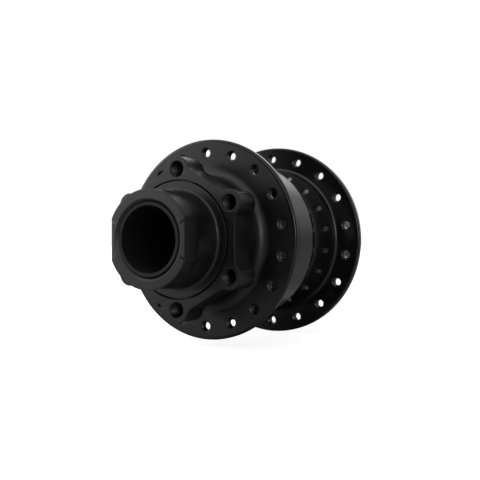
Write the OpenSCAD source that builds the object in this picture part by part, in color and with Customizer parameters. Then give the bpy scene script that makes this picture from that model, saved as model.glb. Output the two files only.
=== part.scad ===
// Bicycle rear hub with a six-bolt disc mount, 36 spoke holes and a pawl freehub.
// The hub axis is Y. The disc side is at -Y, the drive side at +Y and the origin is the hub centre.
// Angles round the axis start at +X and grow towards +Z. Sizes are in millimetres.

/* [Hub] */
// Width over the two end caps, which is the frame's dropout spacing
hub_w = 135; // [128:1:150]
// Diameter of the bore for the through axle
bore_d = 20; // [19:0.1:20.4]
// Wall of the axle tube at its two ends
axle_wall = 1.2; // [0.9:0.1:1.4]
// Distance from the disc-side end face to the disc mount's face
disc_inset = 14.8; // [14:0.1:16.5]

/* [Disc mount] */
// Diameter of the circle that the six disc bolts sit on
disc_pcd = 44; // [43.6:0.1:45]
// Diameter of each disc bolt hole
disc_bolt_d = 4.8; // [4.2:0.1:5.2]
// Depth of each disc bolt hole before its drill point
disc_bolt_depth = 7.4; // [6:0.1:8]
// Radius of the lobe round each disc bolt
lobe_r = 4.1; // [3.6:0.05:4.4]
// Width of the mount across its straight sides between the lobes
mount_af = 42.3; // [41.8:0.1:43]
// Radius of the blend between a lobe and a straight side
lobe_blend_r = 3; // [2:0.1:4]
// Thickness of the lobed mount
mount_t = 9.2; // [8.6:0.1:9.8]
// Diameter of the neck between the mount and the disc flange
neck_d = 42.4; // [41.6:0.1:43]

/* [Flanges] */
// Number of spoke holes in each flange
spokes = 18; // [12:1:18]
// Diameter of a spoke hole
spoke_d = 2.6; // [2.2:0.1:3]
// Diameter of the countersink at each end of a spoke hole
spoke_sink_d = 3.6; // [3.2:0.1:4]
// Diameter of the disc flange's spoke circle
disc_spoke_pcd = 57.6; // [56.6:0.1:60]
// Diameter of the drive flange's spoke circle
drive_spoke_pcd = 62.9; // [62:0.1:66]
// Metal between the spoke circle and the rim of the disc flange
disc_rim = 4.8; // [3.8:0.05:5]
// Metal between the spoke circle and the rim of the drive flange
drive_rim = 4.4; // [3.6:0.05:5]
// Thickness of the disc flange along the axis
disc_flange_t = 2.6; // [2.5:0.1:3.4]
// Thickness of the drive flange along the axis
drive_flange_t = 3; // [2.5:0.1:3.4]
// Lean of the disc flange, as a cone
disc_lean = 0; // [0:1:8]
// Lean of the drive flange's inner face
drive_lean = 3; // [0:1:8]
// Distance from the disc mount's face to the middle of the disc flange
disc_flange_place = 17.7; // [17.2:0.1:19]
// Distance from the middle of the drive flange to the start of the splines
drive_flange_place = 12.6; // [12:0.1:14]

/* [Barrel] */
// Diameter of the barrel at its wide middle
barrel_d = 56; // [54:0.5:57.5]
// Length of the wide middle of the barrel
barrel_l = 7; // [4:0.5:10]
// Distance from the end of the wide middle to the drive flange's middle
barrel_place = 24.4; // [23.5:0.1:26]
// Length of the taper after the wide middle
barrel_taper_l = 6.2; // [5:0.1:7]
// Diameter of the barrel just behind the disc flange
barrel_root_d = 46; // [45:0.5:48]
// Diameter of the drive end of the barrel, where the taper ends
drum_d = 51.7; // [51.2:0.1:53]
// Growth of the drive end's radius from the taper to the flange
drum_flare = 0.9; // [0.4:0.1:1.4]
// Wall of the hollow barrel
barrel_wall = 3; // [2.4:0.1:3.6]

/* [Bearings] */
// Diameter of the axle under the hub bearings
seat_d = 25; // [24.4:0.1:25.4]
// Outer diameter of the two hub bearings
hub_bearing_d = 37; // [36.6:0.1:37.2]
// Width of the two hub bearings
hub_bearing_w = 7; // [6.6:0.1:7.4]
// Number of balls in each hub bearing
hub_balls = 14; // [10:1:16]
// Outer diameter of the thin bearing inside the freehub
free_bearing_d = 32; // [31.6:0.1:32.4]
// Width of the thin bearing inside the freehub
free_bearing_w = 4; // [3.8:0.1:4.4]
// Number of balls in the thin bearing
free_balls = 22; // [16:1:24]
// Outer diameter of the needle bearing's cup
needle_cup_d = 28; // [27.8:0.1:28.4]
// Width of the needle bearing
needle_w = 12; // [10:0.5:13]
// Number of needle rollers
needles = 20; // [14:1:24]

/* [Freehub] */
// Length of the splines that carry the sprockets
spline_l = 35; // [33:0.5:37]
// Diameter over the splines
spline_d = 34.6; // [34.2:0.1:35]
// Diameter at the foot of the splines
spline_root_d = 32.4; // [32:0.1:32.8]
// Width of each spline
spline_w = 6; // [5:0.1:7]
// Width of the one narrow spline that sets how the sprockets go on
key_spline_w = 4.4; // [3.6:0.1:5]
// Distance from the end of the splines to the drive-side end face
spline_inset = 8.2; // [7.8:0.1:9]
// Diameter of the shoulder that the largest sprocket rests on
shoulder_d = 40; // [38:0.5:42]

/* [Ratchet] */
// Teeth inside the ratchet ring
teeth = 48; // [36:12:60]
// Diameter across the tips of the ratchet teeth
tooth_tip_d = 41.2; // [41:0.1:41.6]
// Height of the ratchet teeth
tooth_h = 1.2; // [1.1:0.05:1.3]
// Outer diameter of the ratchet ring
ratchet_d = 46.4; // [46:0.1:46.8]
// Width of the ratchet ring
ratchet_w = 7.4; // [7:0.1:7.8]
// Width of each pawl
pawl_w = 5.8; // [5:0.1:6]

/* [Fits] */
// Gap between pressed pieces of one assembly, on the radius
press_gap = 0.01; // [0:0.005:0.03]
// Gap between pieces that turn past each other, on the radius
run_gap = 0.2; // [0.15:0.01:0.3]
// Gap round the balls and rollers
roll_gap = 0.08; // [0.04:0.01:0.1]

/* [Hidden] */
$fn = 96;

// Places along the axis, from the disc side to the drive side
end_y = hub_w / 2;
disc_y = -end_y + disc_inset;
mount_back_y = disc_y + mount_t;
disc_flange_y = disc_y + disc_flange_place;
spline_end_y = end_y - spline_inset;
spline_y = spline_end_y - spline_l;
drive_flange_y = spline_y - drive_flange_place;
barrel_end_y = drive_flange_y - barrel_place;
barrel_start_y = barrel_end_y - barrel_l;
drum_y = barrel_end_y + barrel_taper_l;

// Bearings: the disc bearing sits behind the cap's shield, the rest stack up to the lock nut
shield_t = 1.8;
shield_step = 0.6;
disc_bearing_y = disc_y + shield_t + shield_step;
ratchet_y = drive_flange_y - ratchet_w / 2 - 1.9;
ratchet_end_y = ratchet_y + ratchet_w;
carrier_y = ratchet_y - 0.6;
carrier_end_y = ratchet_end_y + 0.6;
free_bearing_y = carrier_y + 0.3 - free_bearing_w;
lock_nut_y = free_bearing_y + free_bearing_w;
lock_nut_w = 2.5;
bearing_gap = 2.5;
drive_bearing_y = free_bearing_y - bearing_gap - hub_bearing_w;
circlip_w = 0.8;
circlip_y = free_bearing_y - circlip_w;
free_start_y = circlip_y - 0.5;
lock_thread_l = 7;
end_seal_l = 1.6;
needle_y = spline_end_y - lock_thread_l - end_seal_l - needle_w;

// Radii
bore_r = bore_d / 2;
end_r = bore_r + axle_wall;
thin_r = end_r - 0.2;
seat_r = seat_d / 2;
hub_bearing_r = hub_bearing_d / 2;
free_bearing_r = free_bearing_d / 2;
race_shoulder_r = hub_bearing_r - 1.5;
carrier_r = tooth_tip_d / 2 - 1.4;
ratchet_r = ratchet_d / 2;
spline_r = spline_d / 2;
mount_r = disc_pcd / 2;
disc_spoke_r = disc_spoke_pcd / 2;
drive_spoke_r = drive_spoke_pcd / 2;
disc_flange_r = disc_spoke_r + disc_rim;
drive_flange_r = drive_spoke_r + drive_rim;

function polar(r, a) = [r * cos(a), r * sin(a)];
function arc(c, r, a0, a1, n) = [for (i = [0:n]) c + polar(r, a0 + (a1 - a0) * i / n)];

// A profile of radius and place along the axis, turned about Y
module turned() {
    rotate([-90, 0, 0]) rotate_extrude($fn = 96) children();
}

// A ring between two radii and two places
module ring(r0, r1, y0, y1) {
    turned() translate([r0, y0]) square([r1 - r0, y1 - y0]);
}

// An outline drawn in X and Z, as thick as from y0 to y1
module slab(y0, y1) {
    translate([0, y1, 0]) rotate([90, 0, 0]) linear_extrude(y1 - y0) children();
}

// A child is repeated n times round the axis, the first at angle a
module around(n, a = 0) {
    for (k = [0:n - 1]) rotate([0, -(a + 360 * k / n), 0]) children();
}

// A straight drill along Y at radius r
module drill(r, d, y0, y1) {
    translate([r, y0, 0]) rotate([-90, 0, 0]) cylinder(d = d, h = y1 - y0, $fn = 32);
}

// Flange faces at radius r, leaning with the cone of each flange
function disc_face(r, side) = disc_flange_y + side * disc_flange_t / 2 + (r - disc_spoke_r) * tan(disc_lean);
function drive_face(r) = drive_flange_y - drive_flange_t / 2 + (r - drive_spoke_r) * tan(drive_lean);

front_fillet = 3;
rear_fillet = 2.5;
drive_fillet = 1.4;
rim_bevel = 0.8;
drive_rim_bevel = 0.7;
neck_r = neck_d / 2;
barrel_r = barrel_d / 2;
barrel_root_r = barrel_root_d / 2;
drum_r = drum_d / 2;
drum_end_r = drum_r + drum_flare;
collar_r = ratchet_r + 3.6;
collar_l = 3;
mouth_l = 4;
drive_back_y = drive_flange_y + drive_flange_t / 2 + 0.1;
shell_end_y = drive_back_y + mouth_l;
mouth_r = ratchet_r + 0.4;
front_fillet_c = [
    neck_r + front_fillet,
    disc_face(neck_r + front_fillet, -1) - front_fillet / cos(disc_lean)
];
rear_fillet_c = [
    barrel_root_r + rear_fillet,
    disc_face(barrel_root_r + rear_fillet, 1) + rear_fillet / cos(disc_lean)
];
drive_fillet_c = [
    drum_end_r + drive_fillet,
    drive_face(drum_end_r + drive_fillet) - drive_fillet / cos(drive_lean)
];

// Outline of the shell outside, from the lobed mount to the drive end
function shell_outside() = concat(
    [[neck_r - 0.8, mount_back_y - 3], [neck_r - 0.8, mount_back_y], [neck_r, mount_back_y]],
    arc(front_fillet_c, front_fillet, 180, 90 + disc_lean, 9),
    [
        [disc_flange_r - rim_bevel, disc_face(disc_flange_r - rim_bevel, -1)],
        [disc_flange_r, disc_face(disc_flange_r, -1) + rim_bevel],
        [disc_flange_r, disc_face(disc_flange_r, 1) - rim_bevel],
        [disc_flange_r - rim_bevel, disc_face(disc_flange_r - rim_bevel, 1)]
    ],
    arc(rear_fillet_c, rear_fillet, disc_lean - 90, -180, 9),
    [[barrel_r, barrel_start_y], [barrel_r, barrel_end_y], [drum_r, drum_y]],
    arc(drive_fillet_c, drive_fillet, 177, 90 + drive_lean, 7),
    [
        [drive_flange_r - drive_rim_bevel, drive_face(drive_flange_r - drive_rim_bevel)],
        [drive_flange_r, drive_face(drive_flange_r) + drive_rim_bevel],
        [drive_flange_r, drive_back_y - drive_rim_bevel],
        [drive_flange_r - drive_rim_bevel, drive_back_y],
        [collar_r + 1, drive_back_y],
        [collar_r, drive_back_y + 1],
        [collar_r, drive_back_y + collar_l],
        [collar_r - 1, shell_end_y]
    ]
);

// Outline of the shell inside, from the drive end back to the disc side
cavity_r = barrel_r - barrel_wall;
function shell_inside() = [
    [mouth_r, shell_end_y],
    [mouth_r, ratchet_end_y + 0.6],
    [ratchet_r + press_gap, ratchet_end_y + 0.6],
    [ratchet_r + press_gap, ratchet_y],
    [carrier_r + 0.6, ratchet_y],
    [carrier_r + 0.6, drive_bearing_y + hub_bearing_w + 0.2],
    [hub_bearing_r + press_gap, drive_bearing_y + hub_bearing_w + 0.2],
    [hub_bearing_r + press_gap, drive_bearing_y],
    [race_shoulder_r, drive_bearing_y],
    [race_shoulder_r, drive_bearing_y - 2],
    [cavity_r, barrel_end_y - 1],
    [cavity_r, barrel_start_y + 0.6],
    [barrel_root_r - barrel_wall - 0.5, rear_fillet_c[1] + 0.5],
    [race_shoulder_r, rear_fillet_c[1] - barrel_wall],
    [race_shoulder_r, disc_bearing_y + hub_bearing_w],
    [hub_bearing_r + press_gap, disc_bearing_y + hub_bearing_w],
    [hub_bearing_r + press_gap, mount_back_y - 3]
];

// Points of the lobed mount's outline, counter-clockwise: each lobe between two blends
mount_flat = mount_af / 2;
lobe_chord = mount_r * sin(30);
lobe_depth = mount_r * cos(30);
blend_off = mount_flat + lobe_blend_r - lobe_depth;
blend_side = sqrt(pow(lobe_r + lobe_blend_r, 2) - pow(blend_off, 2));
lobe_half = 30 + atan2(blend_side, blend_off);
function blend_centre(a, side) =
    polar(mount_flat + lobe_blend_r, a + 30 * side) + polar(lobe_chord - blend_side, a - 60 * side);
function lobe_points(a) = concat(
    arc(blend_centre(a, -1), lobe_blend_r, a + 150, a - lobe_half + 180, 6),
    arc(polar(mount_r, a), lobe_r, a - lobe_half, a + lobe_half, 18),
    arc(blend_centre(a, 1), lobe_blend_r, a + lobe_half - 180, a - 150, 6)
);

module lobed_mount() {
    difference() {
        slab(disc_y, mount_back_y) polygon([for (k = [0:5]) each lobe_points(30 + 60 * k)]);
        ring(0, hub_bearing_r + press_gap, disc_y - 1, mount_back_y + 1);
        turned() polygon([
            [0, disc_y - 1],
            [hub_bearing_r + 1.3, disc_y - 1],
            [hub_bearing_r, disc_y + 0.3],
            [0, disc_y + 0.3]
        ]);
    }
}

// A threaded blind hole for a disc bolt, with its drill point and a bevelled mouth
module disc_bolt_hole() {
    bolt_r = disc_bolt_d / 2;
    mouth = 0.25;
    translate([mount_r, 0, 0]) turned() polygon([
        [0, disc_y - 0.5],
        [bolt_r + mouth + 0.5, disc_y - 0.5],
        [bolt_r, disc_y + mouth],
        [bolt_r, disc_y + disc_bolt_depth],
        [0, disc_y + disc_bolt_depth + bolt_r * tan(31)]
    ]);
}

// A countersink as a short cone that opens towards the outside of a face
module sink(d, sign) {
    rotate([sign * 90, 0, 0]) cylinder(r1 = d / 2 - 0.8, r2 = d / 2 + 0.6, h = 1.4, $fn = 32);
}

// One spoke hole through the disc flange, with a countersink square to each face
module disc_spoke_hole() {
    drill(disc_spoke_r, spoke_d, disc_flange_y - 6, disc_flange_y + 6);
    for (side = [-1, 1])
        translate([disc_spoke_r, disc_face(disc_spoke_r, side), 0])
            rotate([0, 0, disc_lean]) translate([0, -0.8 * side, 0]) sink(spoke_sink_d, -side);
}

// One spoke hole through the drive flange
module drive_spoke_hole() {
    drill(drive_spoke_r, spoke_d, drive_flange_y - 6, drive_flange_y + 6);
    translate([drive_spoke_r, drive_face(drive_spoke_r), 0])
        rotate([0, 0, drive_lean]) translate([0, 0.8, 0]) sink(spoke_sink_d, 1);
    translate([drive_spoke_r, drive_back_y - 0.8, 0]) sink(spoke_sink_d, -1);
}

module hub_shell() {
    color("#1c1d1f") difference() {
        union() {
            turned() polygon(concat(shell_outside(), shell_inside()));
            lobed_mount();
        }
        around(6, 30) disc_bolt_hole();
        around(spokes, 90) disc_spoke_hole();
        around(spokes, 90) drive_spoke_hole();
    }
}

// The disc-side end cap: a round nose with two wrench flats, a waist and a shield over the bearing
cap_r = 15;
cap_flats = 27;
cap_nose_l = 6.4;
cap_edge = 0.4;
cap_back_edge = 0.25;
waist_r = 13.2;
waist_fillet = 0.9;
waist_end_r = 15.4;
foot_fillet = 1;
shield_r = hub_bearing_r - 0.25;
cap_bore_r = end_r + 0.1;
cap_mouth = 1;
nose_end_y = -end_y + cap_nose_l;
function cap_waist() = concat(
    arc([waist_r + waist_fillet, nose_end_y + waist_fillet], waist_fillet, -90, -180, 5),
    arc([waist_end_r + foot_fillet, disc_y - foot_fillet], foot_fillet, 180, 90, 6)
);
cap_ring_place = 4;
module disc_end_cap() {
    color("#202123") difference() {
        turned() polygon(concat(
            [
                [cap_bore_r, -end_y + cap_mouth],
                [cap_bore_r + cap_mouth, -end_y],
                [cap_r - cap_edge, -end_y],
                [cap_r, -end_y + cap_edge],
                [cap_r, nose_end_y - cap_back_edge],
                [cap_r - cap_back_edge, nose_end_y]
            ],
            cap_waist(),
            [
                [shield_r, disc_y],
                [shield_r, disc_y + shield_t],
                [seat_r + 1.1, disc_y + shield_t],
                [seat_r + 1.1, disc_bearing_y],
                [cap_bore_r, disc_bearing_y]
            ]
        ));
        for (side = [-1, 1])
            translate([side * (cap_flats / 2 + 5), -end_y + cap_nose_l / 2, 0])
                cube([10, cap_nose_l + 1, 4 * waist_r], center = true);
        ring(end_r - 1, cap_bore_r + 1, -end_y + cap_ring_place, -end_y + cap_ring_place + 1.6);
    }
}

// A rubber ring in the groove of an end cap
module cap_ring(y) {
    color("#0c0c0d") turned() translate([end_r + 0.55, y]) circle(r = 0.54, $fn = 32);
}
module disc_cap_o_ring() {
    cap_ring(-end_y + cap_ring_place + 0.8);
}
module drive_cap_o_ring() {
    cap_ring(end_y - cap_ring_place - 0.8);
}

// The drive-side end cap, small enough to pass through the sprockets' lock ring
drive_cap_r = 14;
drive_cap_hub_r = 13;
drive_cap_hub_y = needle_y + needle_w + 0.5;
module drive_end_cap() {
    color("#202123") difference() {
        turned() polygon([
            [cap_bore_r, drive_cap_hub_y],
            [drive_cap_hub_r - 0.4, drive_cap_hub_y],
            [drive_cap_hub_r, drive_cap_hub_y + 0.4],
            [drive_cap_hub_r, spline_end_y + 0.6],
            [drive_cap_r, spline_end_y + 0.6],
            [drive_cap_r, end_y - cap_edge],
            [drive_cap_r - cap_edge, end_y],
            [cap_bore_r + cap_mouth, end_y],
            [cap_bore_r, end_y - cap_mouth]
        ]);
        ring(end_r - 1, cap_bore_r + 1, end_y - cap_ring_place - 1.6, end_y - cap_ring_place);
    }
}

// The axle tube: thin at both ends, thick through the hub bearings, with a shoulder inside each
axle_recess = 0.4;
axle_shoulder_r = seat_r + 1.3;
axle_shoulder_w = 2.4;
axle_thick_end_y = lock_nut_y + lock_nut_w + 0.4;
module axle() {
    color("#8d9196") turned() polygon([
        [bore_r, -end_y + axle_recess + 0.2],
        [bore_r + 0.2, -end_y + axle_recess],
        [end_r - 0.2, -end_y + axle_recess],
        [end_r, -end_y + axle_recess + 0.2],
        [end_r, disc_bearing_y + 0.2],
        [seat_r, disc_bearing_y + 0.2],
        [seat_r, disc_bearing_y + hub_bearing_w],
        [axle_shoulder_r, disc_bearing_y + hub_bearing_w],
        [axle_shoulder_r, disc_bearing_y + hub_bearing_w + axle_shoulder_w],
        [seat_r - 0.5, disc_bearing_y + hub_bearing_w + axle_shoulder_w + 2],
        [seat_r - 0.5, drive_bearing_y - axle_shoulder_w - 2],
        [axle_shoulder_r, drive_bearing_y - axle_shoulder_w],
        [axle_shoulder_r, drive_bearing_y],
        [seat_r, drive_bearing_y],
        [seat_r, axle_thick_end_y],
        [thin_r, axle_thick_end_y + 1],
        [thin_r, drive_cap_hub_y - 0.3],
        [end_r, drive_cap_hub_y - 0.1],
        [end_r, end_y - axle_recess - 0.2],
        [end_r - 0.2, end_y - axle_recess],
        [bore_r + 0.2, end_y - axle_recess],
        [bore_r, end_y - axle_recess - 0.2]
    ]);
}
module bearing_spacer() {
    color("#8d9196") ring(seat_r + press_gap, seat_r + 1.1, drive_bearing_y + hub_bearing_w, free_bearing_y);
}
module bearing_lock_nut() {
    color("#b9bcc0") difference() {
        ring(seat_r + press_gap, seat_r + 1.4, lock_nut_y, lock_nut_y + lock_nut_w);
        around(4) translate([seat_r + 1.6, lock_nut_y + lock_nut_w, 0]) cube([1.6, 2.4, 2.4], center = true);
    }
}

// Ball bearings: two grooved races, balls in a pocketed cage and two seals
module race(r0, r1, y, w, pitch_r, groove_r) {
    color("#b9bcc0") difference() {
        ring(r0, r1, y, y + w);
        turned() translate([pitch_r, y + w / 2]) circle(r = groove_r, $fn = 48);
    }
}
module seals(r0, r1, y, w, t) {
    color("#3a1512") for (place = [y + 0.15, y + w - 0.15 - t]) ring(r0, r1, place, place + t);
}
module balls(n, pitch_r, ball_r, y) {
    color("#d5d7da") around(n) translate([pitch_r, y, 0]) sphere(r = ball_r, $fn = 32);
}
module cage(n, pitch_r, pocket_r, y, w, t) {
    color("#6b5a2e") difference() {
        ring(pitch_r - t / 2, pitch_r + t / 2, y - w / 2, y + w / 2);
        around(n) translate([pitch_r - t, y, 0])
            rotate([0, 90, 0]) cylinder(r = pocket_r, h = 2 * t, $fn = 32);
    }
}

hub_pitch_r = (seat_r + hub_bearing_r) / 2;
hub_ball_r = (hub_bearing_r - seat_r) * 0.29;
hub_race_t = (hub_bearing_r - seat_r) * 0.275;
free_pitch_r = (seat_r + free_bearing_r) / 2;
free_ball_r = (free_bearing_r - seat_r) * 0.257;
free_race_t = (free_bearing_r - seat_r) * 0.27;
module hub_inner_race(y) {
    race(seat_r + press_gap, seat_r + hub_race_t, y, hub_bearing_w, hub_pitch_r, hub_ball_r + roll_gap);
}
module hub_outer_race(y) {
    race(hub_bearing_r - hub_race_t, hub_bearing_r, y, hub_bearing_w, hub_pitch_r, hub_ball_r + roll_gap);
}
module hub_seals(y) {
    seals(seat_r + hub_race_t + 0.15, hub_bearing_r - hub_race_t - press_gap, y, hub_bearing_w, 0.4);
}
module hub_cage(y) {
    cage(hub_balls, hub_pitch_r, hub_ball_r + roll_gap, y + hub_bearing_w / 2, hub_bearing_w * 0.66, 0.9);
}
module disc_bearing_inner_race() {
    hub_inner_race(disc_bearing_y);
}
module disc_bearing_outer_race() {
    hub_outer_race(disc_bearing_y);
}
module disc_bearing_seals() {
    hub_seals(disc_bearing_y);
}
module disc_bearing_balls() {
    balls(hub_balls, hub_pitch_r, hub_ball_r, disc_bearing_y + hub_bearing_w / 2);
}
module disc_bearing_cage() {
    hub_cage(disc_bearing_y);
}
module drive_bearing_inner_race() {
    hub_inner_race(drive_bearing_y);
}
module drive_bearing_outer_race() {
    hub_outer_race(drive_bearing_y);
}
module drive_bearing_seals() {
    hub_seals(drive_bearing_y);
}
module drive_bearing_balls() {
    balls(hub_balls, hub_pitch_r, hub_ball_r, drive_bearing_y + hub_bearing_w / 2);
}
module drive_bearing_cage() {
    hub_cage(drive_bearing_y);
}
module freehub_bearing_inner_race() {
    race(
        seat_r + press_gap, seat_r + free_race_t,
        free_bearing_y, free_bearing_w, free_pitch_r, free_ball_r + roll_gap
    );
}
module freehub_bearing_outer_race() {
    race(
        free_bearing_r - free_race_t, free_bearing_r, free_bearing_y, free_bearing_w,
        free_pitch_r, free_ball_r + roll_gap
    );
}
module freehub_bearing_seals() {
    seals(
        seat_r + free_race_t + 0.12, free_bearing_r - free_race_t - press_gap,
        free_bearing_y, free_bearing_w, 0.25
    );
}
module freehub_bearing_balls() {
    balls(free_balls, free_pitch_r, free_ball_r, free_bearing_y + free_bearing_w / 2);
}
module freehub_bearing_cage() {
    cage(
        free_balls, free_pitch_r, free_ball_r + roll_gap,
        free_bearing_y + free_bearing_w / 2, free_bearing_w * 0.66, 0.6
    );
}

// The drawn-cup needle bearing at the outer end of the freehub
needle_cup_r = needle_cup_d / 2;
needle_race_r = needle_cup_r - 1;
needle_r = (needle_race_r - thin_r) / 2 - roll_gap / 2;
needle_pitch_r = (needle_race_r + thin_r) / 2;
cup_lip = 0.8;
roller_end_gap = 0.8;
roller_y = needle_y + cup_lip + roller_end_gap;
roller_end_y = needle_y + needle_w - cup_lip - roller_end_gap;
module needle_bearing_cup() {
    color("#b9bcc0") difference() {
        ring(thin_r + 0.4, needle_cup_r, needle_y, needle_y + needle_w);
        ring(thin_r, needle_race_r, needle_y + cup_lip, needle_y + needle_w - cup_lip);
    }
}
module needle_rollers() {
    color("#d5d7da") around(needles)
        drill(needle_pitch_r, 2 * needle_r, roller_y, roller_end_y);
}
module needle_cage() {
    color("#6b5a2e") difference() {
        ring(
            needle_pitch_r - 0.4, needle_pitch_r + 0.4,
            needle_y + cup_lip + 0.1, needle_y + needle_w - cup_lip - 0.1
        );
        around(needles)
            drill(needle_pitch_r, 2 * (needle_r + roll_gap / 2), roller_y - 0.1, roller_end_y + 0.1);
    }
}

// Ratchet and pawls. The pawls point towards growing angles and stand at rest as they do while
// the wheel coasts over them, pressed in just clear of the teeth. They swing out to engage.
pawls = 3;
heel_r = 1.7;
pivot_r = carrier_r - 0.2 - heel_r;
pawl_reach = 7.3;
nose_r = tooth_tip_d / 2 - 0.35;
nose_x = sqrt(pow(nose_r, 2) - pow(pawl_reach, 2));
nose_thick = 2.2;
nose_back = polar(nose_thick, 30.5);
// A tooth's steep face stands this far, as an angle, past the place where the nose of a swinging
// pawl comes level with the tooth tips
nose_gap = 0.3;
nose_arm = norm([nose_x - pivot_r, pawl_reach]);
level_angle = acos((pow(tooth_tip_d / 2, 2) - pow(pivot_r, 2) - pow(nose_arm, 2)) / (2 * pivot_r * nose_arm));
tooth_angle = atan2(nose_arm * sin(level_angle), pivot_r + nose_arm * cos(level_angle)) + nose_gap;
module pawl_outline() {
    translate([pivot_r, 0]) circle(r = heel_r, $fn = 40);
    polygon([
        [pivot_r + heel_r - 0.05, 0.3],
        [nose_x, pawl_reach],
        [nose_x - nose_back[0], pawl_reach - nose_back[1]],
        [pivot_r - heel_r + 0.15, 0.6]
    ]);
}
pawl_y = (ratchet_y + ratchet_end_y - pawl_w) / 2;
module pawl(k) {
    color("#9a9da1") rotate([0, -360 * k / pawls, 0]) slab(pawl_y, pawl_y + pawl_w) pawl_outline();
}
module pawl_1() {
    pawl(0);
}
module pawl_2() {
    pawl(1);
}
module pawl_3() {
    pawl(2);
}
module ratchet_ring() {
    pitch = 360 / teeth;
    color("#6f7377") slab(ratchet_y, ratchet_end_y) difference() {
        circle(r = ratchet_r);
        polygon([
            for (k = [0:teeth - 1])
                each [
                    polar(tooth_tip_d / 2, tooth_angle + k * pitch),
                    polar(tooth_tip_d / 2 + tooth_h, tooth_angle + (k + 0.98) * pitch)
                ]
        ]);
    }
}

// Room for one pawl in the freehub's carrier, open outwards above the nose
pocket_gap = 0.25;
module pawl_pocket() {
    slab(pawl_y - run_gap, pawl_y + pawl_w + run_gap) {
        translate([pivot_r, 0]) circle(r = heel_r + 0.06, $fn = 40);
        polygon([
            [carrier_r + 2, -0.8],
            [carrier_r + 2, pawl_reach + 1.2],
            [nose_x - nose_back[0] - pocket_gap, pawl_reach - nose_back[1] + 0.5],
            [nose_x - nose_back[0] - pocket_gap, pawl_reach - nose_back[1] - 0.4],
            [pivot_r - heel_r, 0.9],
            [pivot_r, -0.8]
        ]);
    }
}

// A leaf spring lies in a slot under each pawl
spring_w = 1.6;
spring_t = 0.25;
spring_gap = 0.06;
spring_y = pawl_y + pawl_w - spring_w - 1.4;
spring_foot = [pivot_r - heel_r - 0.35, 1.6];
spring_bend = [pivot_r - heel_r - 0.3, 3.4];
spring_tip = [nose_x - nose_back[0] - 0.55, pawl_reach - nose_back[1] - 0.5];
module spring_slot() {
    slab(spring_y - 0.3, spring_y + spring_w + 0.3) polygon([
        spring_foot + [-spring_t - spring_gap, -0.3],
        spring_foot + [2, -0.3],
        spring_tip + [1, 0.4],
        spring_tip + [-spring_t - spring_gap, 0.4],
        spring_bend + [-spring_t - spring_gap, 0]
    ]);
}
module pawl_springs() {
    color("#c9ccd0") around(pawls) slab(spring_y, spring_y + spring_w) polygon([
        spring_foot,
        spring_bend,
        spring_tip,
        spring_tip + [-spring_t, 0.1],
        spring_bend + [-spring_t, 0],
        spring_foot + [-spring_t, 0]
    ]);
}

// The freehub body: a bearing seat, the pawl carrier, a neck for the seal, a shoulder and splines.
// The lock ring's thread in its outer end is a plain bore at the thread's inner diameter.
free_seat_r = carrier_r - 0.7;
seal_neck_r = carrier_r - 0.2;
shoulder_y = shell_end_y + 1.4;
shoulder_r = shoulder_d / 2;
free_nut_bore_r = seat_r + 1.9;
free_bore_r = thin_r + 2.4;
lock_thread_r = 15.2;
module splines() {
    intersection() {
        slab(spline_y - 1, spline_end_y) {
            circle(r = spline_root_d / 2);
            intersection() {
                circle(r = spline_r);
                for (k = [0:8]) {
                    w = k == 0 ? key_spline_w : spline_w;
                    rotate(90 + 40 * k) translate([0, -w / 2]) square([spline_r + 1, w]);
                }
            }
        }
        turned() polygon([
            [0, spline_y - 2],
            [spline_r + 1, spline_y - 2],
            [spline_r + 1, spline_end_y - 1.5],
            [spline_r - 0.7, spline_end_y],
            [0, spline_end_y]
        ]);
    }
}
module freehub_body() {
    color("#2b2c2f") difference() {
        union() {
            turned() polygon([
                [free_bearing_r - 2, free_start_y],
                [free_seat_r - 0.4, free_start_y],
                [free_seat_r, free_start_y + 0.4],
                [free_seat_r, carrier_y],
                [carrier_r, carrier_y],
                [carrier_r, carrier_end_y],
                [seal_neck_r, carrier_end_y],
                [seal_neck_r, shoulder_y],
                [shoulder_r - 0.6, shoulder_y],
                [shoulder_r, shoulder_y + 0.6],
                [shoulder_r, spline_y - 0.6],
                [shoulder_r - 0.6, spline_y],
                [free_bearing_r - 2, spline_y]
            ]);
            splines();
        }
        turned() polygon([
            [0, free_start_y - 1],
            [free_bearing_r + press_gap, free_start_y - 1],
            [free_bearing_r + press_gap, circlip_y - press_gap],
            [free_bearing_r + 0.7, circlip_y - press_gap],
            [free_bearing_r + 0.7, free_bearing_y],
            [free_bearing_r + press_gap, free_bearing_y],
            [free_bearing_r + press_gap, free_bearing_y + free_bearing_w],
            [free_nut_bore_r, free_bearing_y + free_bearing_w],
            [free_nut_bore_r, lock_nut_y + lock_nut_w + 0.5],
            [free_bore_r, lock_nut_y + lock_nut_w + 1.2],
            [free_bore_r, needle_y],
            [needle_cup_r + press_gap, needle_y],
            [needle_cup_r + press_gap, needle_y + needle_w],
            [lock_thread_r, needle_y + needle_w],
            [lock_thread_r, spline_end_y + 1],
            [0, spline_end_y + 1]
        ]);
        around(pawls) pawl_pocket();
        around(pawls) spring_slot();
    }
}
module freehub_circlip() {
    color("#6f7377") difference() {
        ring(free_bearing_r - 0.9, free_bearing_r + 0.65, circlip_y, circlip_y + circlip_w - press_gap);
        translate([free_bearing_r, circlip_y, 0]) cube([4, 4, 5], center = true);
    }
}

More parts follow.
